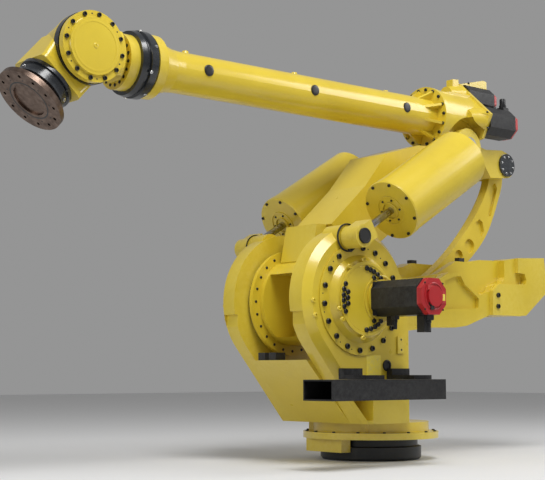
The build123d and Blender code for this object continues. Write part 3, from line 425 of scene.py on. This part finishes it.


# Radius and angle of the plugs, bosses and small holes on a drive cover; the small holes are drawn as
# black dots, painted shade in the holes
PLUG_SPOTS = (
    (179, 24), (182, 14), (149, 12), (180, 4), (148, 0), (180, 355), (149, 348), (182, 345), (180, 336),
    (164, 89), (160, 99), (157, 109), (156, 121), (125, 114), (155, 132), (120, 130),
    (127, 247), (155, 229), (158, 239), (160, 249), (163, 261), (168, 273),
)
BOSS_SPOTS = ((214, 52), (212, 84), (216, 344), (218, 328), (214, 279))
HOLE_SHADE_SPOTS = ((281, 43), (284, 4), (284, 344), (282, 304), (281, 285), (276, 227), (277, 124), (279, 102))


def drive_details(name, side):
    """Bolts, plugs and small bosses on a drive cover."""
    out = (0, side, 0)
    radius, count = DRIVE_CIRCLE
    bolts = bmesh.new()
    for step in range(count):
        place = shoulder_point(radius, 13 + 20 * step, side * COVER_FACE)
        lathe(bolts, place, out, *DRIVE_BOLT, BOLT, 18)
    # Painted shade: black dots where the cover has small holes
    for radius, angle in HOLE_SHADE_SPOTS:
        lathe(bolts, shoulder_point(radius, angle, side * COVER_FACE), out, *DOT, PLUG, 8)
    for radius, angle in PLUG_SPOTS:
        lathe(bolts, shoulder_point(radius, angle, side * DOME_FACE), out, *DOME_PLUG, PLUG, 16)
    piece(name + "_drive_bolts", "turret", "bolt", bolts)
    cast = bmesh.new()
    for radius, angle in BOSS_SPOTS:
        place = shoulder_point(radius, angle, side * (DOME_FACE - 1))
        lathe(cast, place, out, *CAST_BOSS, BOSS, 20)
    for angle in (357, 344):
        lathe(cast, shoulder_point(345, angle, side * WALL_FACE), out, *CAST_BOSS, BOSS, 20)
    ring_y = side * (DOME_FACE - 0.5)
    lathe(cast, shoulder_point(0, 0, ring_y), out, 200, 3, RING, 64)
    lathe(cast, (MOTOR_X, ring_y, SHOULDER[1]), out, 132, 6, RING, 48)
    piece(name + "_cover_bosses", "turret", "yellow", cast)


def motor_details(name, side):
    """Flange plate, cable plugs, cap screws and the bare plate of a shoulder motor."""
    x, z = MOTOR_X, SHOULDER[1]
    out = (0, side, 0)
    down = (0, 0, -1)
    black = bmesh.new()
    block(black, (x, side * MOTOR_FLANGE_Y, z), (182, 12, 182), 4)
    block(black, (x - 8, side * POWER_PLUG_Y, z - 106), (62, 54, 34), 4)
    lathe(black, (x - 8, side * POWER_PLUG_Y, z - 118), down, 25, 60, CABLE_PLUG, 24)
    block(black, (x + 28, side * SIGNAL_PLUG_Y, z - 103), (34, 34, 22), 3)
    lathe(black, (x + 28, side * SIGNAL_PLUG_Y, z - 112), down, 12, 54, CABLE_PLUG, 18)
    piece(name + "_motor_plugs", "turret", "motor", black)
    red = bmesh.new()
    block(red, (x - 66, side * (CAP_FACE + 1), z - 4), (42, 6, 66), 2.5)
    block(red, (x + 34, side * (CAP_FACE + 3), z + 44), (52, 14, 30), 4)
    lathe(red, (x, side * (CAP_FACE - 0.5), z), out, 72, 5, RING, 40)
    piece(name + "_motor_cap_boss", "turret", "red", red)
    dark = bmesh.new()
    for place in circle((x, side * (CAP_FACE - 1), z), X, Z, *CAP_CIRCLE, 45):
        lathe(dark, place, out, *CAP_SCREW, BOLT, 10)
    for step in range(5):
        block(dark, (x + 36, side * (CAP_FACE + 5), z - 24 - 5 * step), (16, 8, 3), 1)
    block(dark, (x + 20, side * (CAP_FACE + 4), z - 58), (30, 12, 26), 3)
    piece(name + "_motor_cap_screws", "turret", "bolt", dark)
    plate = bmesh.new()
    block(plate, (x - 70, side * (CAP_FACE + 4), z - 4), (26, 2.4, 34), 0.6)
    piece(name + "_motor_plate", "turret", "label", plate)


def balancer_details(name, side):
    """Cover bolts and gland on the barrel, and the pin cap and seal at the turret ear."""
    along = Vector((math.cos(BALANCER_LEAN), 0, math.sin(BALANCER_LEAN)))
    across = Vector(Y)
    up = across.cross(along)
    front = Vector(EAR_PIN) + along * BARREL_START
    front.y = side * BALANCER_Y
    bolts = bmesh.new()
    for place in circle(front, across, up, *BARREL_CIRCLE, 22.5):
        lathe(bolts, place, -along, *BARREL_BOLT, BOLT)
    for place in circle(front, across, up, *GLAND_CIRCLE):
        lathe(bolts, place, -along, *GLAND_BOLT, BOLT)
    piece(name + "_barrel_bolts", name + "_barrel", "bolt", bolts)
    gland = bmesh.new()
    lathe(gland, front - along, -along, 50, 9, RING, 40)
    lathe(gland, front - along, -along, 88, 4, RING, 48)
    piece(name + "_barrel_gland", name + "_barrel", "yellow", gland)
    black = bmesh.new()
    out = (0, side, 0)
    lathe(black, (EAR_PIN[0], side * ROD_EYE_FACE, EAR_PIN[2]), out, 42, 12, PIN_CAP, 36)
    lathe(black, (EAR_PIN[0], side * SEAL_START, EAR_PIN[2]), out, 77, 8, RING, 48)
    piece(name + "_pin_seal", name + "_rod", "rubber", black)


# Arm, linkage and elbow

def linkage_details():
    """Screws of the arm's drum flange, of the link-top covers and of the counterweight."""
    drum = bmesh.new()
    for place in circle((SHOULDER[0], DRUM_FLANGE_FACE, SHOULDER[1]), X, Z, *DRUM_CIRCLE):
        lathe(drum, place, Y, *DRUM_SCREW, PLUG, 12)
    piece("drum_flange_screws", "lower_arm", "bolt", drum)
    bolts = bmesh.new()
    for side in (-1, 1):
        centre = (LINK_TOP[0], side * LINK_COVER_FACE, LINK_TOP[1])
        for place in circle(centre, X, Z, *LINK_COVER_CIRCLE, 12):
            lathe(bolts, place, (0, side, 0), *SMALL_SCREW, BOLT)
    piece("link_cover_screws", "forearm", "silver", bolts)
    heavy = bmesh.new()
    for side in (-1, 1):
        for x, z in ((-902, 970), (-899, 901)):
            place = (x, side * COUNTERWEIGHT_FACE, z)
            lathe(heavy, place, (0, side, 0), *DRIVE_BOLT, BOLT, 18)
    piece("counterweight_bolts", "lever", "bolt", heavy)


def level_circle(x, radius, count, start):
    """Points of a bolt circle across the forearm, tipped with it."""
    for step in range(count):
        angle = math.radians(start + 20 * step)
        yield tipped(x, radius * math.cos(angle), FOREARM_Z + radius * math.sin(angle))


def elbow_details():
    """Flange bolts behind the forearm tube, black plugs on it and the motor plate's screws."""
    bolts = bmesh.new()
    for place in level_circle(ELBOW_FLANGE_X, *ELBOW_CIRCLE, 0):
        lathe(bolts, place, AHEAD, *FLANGE_BOLT, BOLT)
    for x, lift in ((-221, 113), (534, 111), (1289, 109)):
        for side in (-1, 1):
            place = tipped(x, side * lift, FOREARM_Z + 10)
            lathe(bolts, place, (0, side, 0), *TUBE_PLUG, DISC, 28)
    for y, z in ((236, 40), (236, -60), (120, -118), (92, 248)):
        for side in (-1, 1):
            place = tipped(MOTOR_PLATE_X, side * y, FOREARM_Z + z)
            lathe(bolts, place, AHEAD, *SMALL_SCREW, BOLT)
    piece("forearm_bolts", "forearm", "bolt", bolts)
    cast = bmesh.new()
    for x in (-155, 590, 1362):
        lathe(cast, tipped(x, 0, FOREARM_Z + 111), Z, *TUBE_BOSS, BOSS, 24)
    piece("forearm_bosses", "forearm", "yellow", cast)


# Wrist

def wrist_details():
    """Ring screws, neck flange bolts and the bolted side cover."""
    silver = bmesh.new()
    for step in range(8):
        angle = math.radians(22 + 45 * step)
        out = Vector((0, math.cos(angle), math.sin(angle)))
        x = ROLL_RING_X + 30 * (step % 2)
        lathe(silver, tipped(x, 171 * out.y, FOREARM_Z + 171 * out.z), out, *RING_SCREW, BOLT)
    piece("roll_ring_screws", "forearm", "silver", silver)
    bolts = bmesh.new()
    for place in level_circle(NECK_FACE_X, *NECK_CIRCLE, 10):
        lathe(bolts, place, AHEAD, *NECK_BOLT, BOLT)
    centre = (WRIST[0], WRIST_COVER_FACE, WRIST[1])
    for place in circle(centre, X, Z, *WRIST_CIRCLE, 8):
        lathe(bolts, place, Y, *WRIST_BOLT, BOLT)
    for place in circle(centre, X, Z, *WRIST_DOTS, 24):
        lathe(bolts, place, Y, *DOT, PLUG, 8)
    piece("wrist_cover_bolts", "wrist", "bolt", bolts)
    cast = bmesh.new()
    middle = (WRIST[0], WRIST_CENTRE_FACE, WRIST[1])
    lathe(cast, middle, Y, 12, 3, BOSS, 24)
    lathe(cast, middle, Y, 126, 1.6, RING, 64)
    piece("wrist_cover_plug", "wrist", "yellow", cast)


def hand_point(distance, radius=0.0, angle=0.0):
    """A point along the hand's axis from the wrist, and out from that axis."""
    turn = math.radians(angle)
    across = Vector(Y) * math.cos(turn) + HAND_UP * math.sin(turn)
    return Vector((WRIST[0], 0, WRIST[1])) + HAND_AXIS * distance + across * radius


def hand_details():
    """Ring screws on the hand, and black discs and a thin black ring on the tool flange: painted shade
    in its holes and its groove.
    """
    silver = bmesh.new()
    for step in range(6):
        angle = 20 + 60 * step
        place = hand_point(HAND_RING_START + 44 * (step % 2), 132 + 6 * (step % 2), angle)
        out = (hand_point(0, 1, angle) - hand_point(0)).normalized()
        lathe(silver, place, out, *RING_SCREW, BOLT)
    piece("hand_ring_screws", "hand", "silver", silver)
    # Painted shade: black discs for the holes and a thin black ring for the groove of the tool flange
    holes = bmesh.new()
    for step in range(9):
        place = hand_point(TOOL_FACE, 128, 15 + 40 * step)
        lathe(holes, place, HAND_AXIS, *TOOL_HOLE_SHADE, PLUG, 10)
    lathe(holes, hand_point(TOOL_FACE), HAND_AXIS, 112, 0.6, GROOVE_SHADE_RING, 64)
    piece("tool_flange_painted_shade", "tool", "bolt", holes)


# Turret walls and floor side

def base_details():
    """Screws in the turning plate and in the tube brackets' seats."""
    bolts = bmesh.new()
    for place in circle((0, 0, PLATE_TOP), X, Y, *TURNING_CIRCLE, 11):
        if abs(place.x) < 372 and place.length > 372:
            lathe(bolts, place, Z, *RING_SCREW, BOLT)
    for side in (-1, 1):
        for x in (333, 383):
            lathe(bolts, (x, side * WALL_FACE, 470), (0, side, 0), *RING_SCREW, BOLT)
    piece("turret_screws", "turret", "bolt", bolts)


def wall_details():
    """Cast pad, cable grommet and the bare label plate on the near wall."""
    cast = bmesh.new()
    block(cast, (137, WALL_FACE + 3, 643), (54, 12, 98), 4)
    piece("wall_pad", "turret", "yellow", cast)
    black = bmesh.new()
    for x, z in ((134, 674), (132, 618)):
        lathe(black, (x, WALL_FACE + 9, z), Y, 6, 1, PLUG, 12)
    lathe(black, (243, WALL_FACE, 531), Y, 31, 7, GROMMET, 32)
    piece("wall_grommet", "turret", "rubber", black)
    plate = bmesh.new()
    block(plate, (347, WALL_FACE + 0.6, 530), (112, 2.4, 112), 0.6)
    piece("wall_label_plate", "turret", "label", plate)


def elbow_motor_plugs():
    """Upright cable plugs on the lower motors and a side plug on the upper one."""
    black = bmesh.new()
    for y in (165, -165):
        block(black, tipped(MOTOR_END_X, y, FOREARM_Z + 94), (58, 54, 26), 3)
        lathe(black, tipped(MOTOR_END_X, y, FOREARM_Z + 104), Z, 23, 62, CABLE_PLUG, 24)
        block(black, tipped(MOTOR_END_X + 97, y, FOREARM_Z + 92), (32, 32, 18), 3)
    block(black, tipped(MOTOR_END_X, -84, FOREARM_Z + 176), (52, 24, 50), 3)
    lathe(black, tipped(MOTOR_END_X, -92, FOREARM_Z + 176), (0, -1, 0), 22, 52, CABLE_PLUG, 24)
    piece("elbow_motor_plugs", "forearm", "motor", black)


# Floor and light

def make_stage():
    mesh = bpy.data.meshes.new("floor")
    half = FLOOR_SIZE / 2
    corners = [(-half, -half, 0), (half, -half, 0), (half, half, 0), (-half, half, 0)]
    mesh.from_pydata(corners, [], [(0, 1, 2, 3)])
    floor = bpy.data.objects.new("floor", mesh)
    bpy.context.scene.collection.objects.link(floor)
    made, _, shader = new_material("floor_pale")
    shader.inputs["Base Color"].default_value = FLOOR_COLOUR
    shader.inputs["Roughness"].default_value = FLOOR_ROUGHNESS
    mesh.materials.append(made)
    world = bpy.data.worlds.new("studio")
    bpy.context.scene.world = world
    world.use_nodes = True
    background = world.node_tree.nodes["Background"]
    background.inputs["Color"].default_value = (1, 1, 1, 1)
    background.inputs["Strength"].default_value = WORLD_STRENGTH


def area_light(name, place, target, size, power):
    data = bpy.data.lights.new(name, "AREA")
    data.size = size
    data.energy = power
    lamp = bpy.data.objects.new(name, data)
    bpy.context.scene.collection.objects.link(lamp)
    lamp.location = place
    ahead = Vector(target) - Vector(place)
    lamp.rotation_euler = ahead.to_track_quat("-Z", "Y").to_euler()


def make_lights():
    area_light("key", (1.8, 3.0, 6.4), (0.2, 0, 1.2), 3.0, 340)
    area_light("side", (6.5, -0.5, 3.0), (0.4, 0, 1.4), 2.6, 70)
    area_light("back", (-4.0, 3.0, 4.5), (0, 0, 1.5), 2.6, 110)


def add_details():
    for name, side in (("left", 1), ("right", -1)):
        drive_details(name, side)
        motor_details(name, side)
        balancer_details(name, side)
    linkage_details()
    elbow_details()
    wrist_details()
    hand_details()
    base_details()
    wall_details()
    elbow_motor_plugs()


scene = bpy.context.scene
scene.view_settings.view_transform = "Standard"
make_camera()
materials = make_materials()
dress_nodes()
add_details()
make_stage()
make_lights()
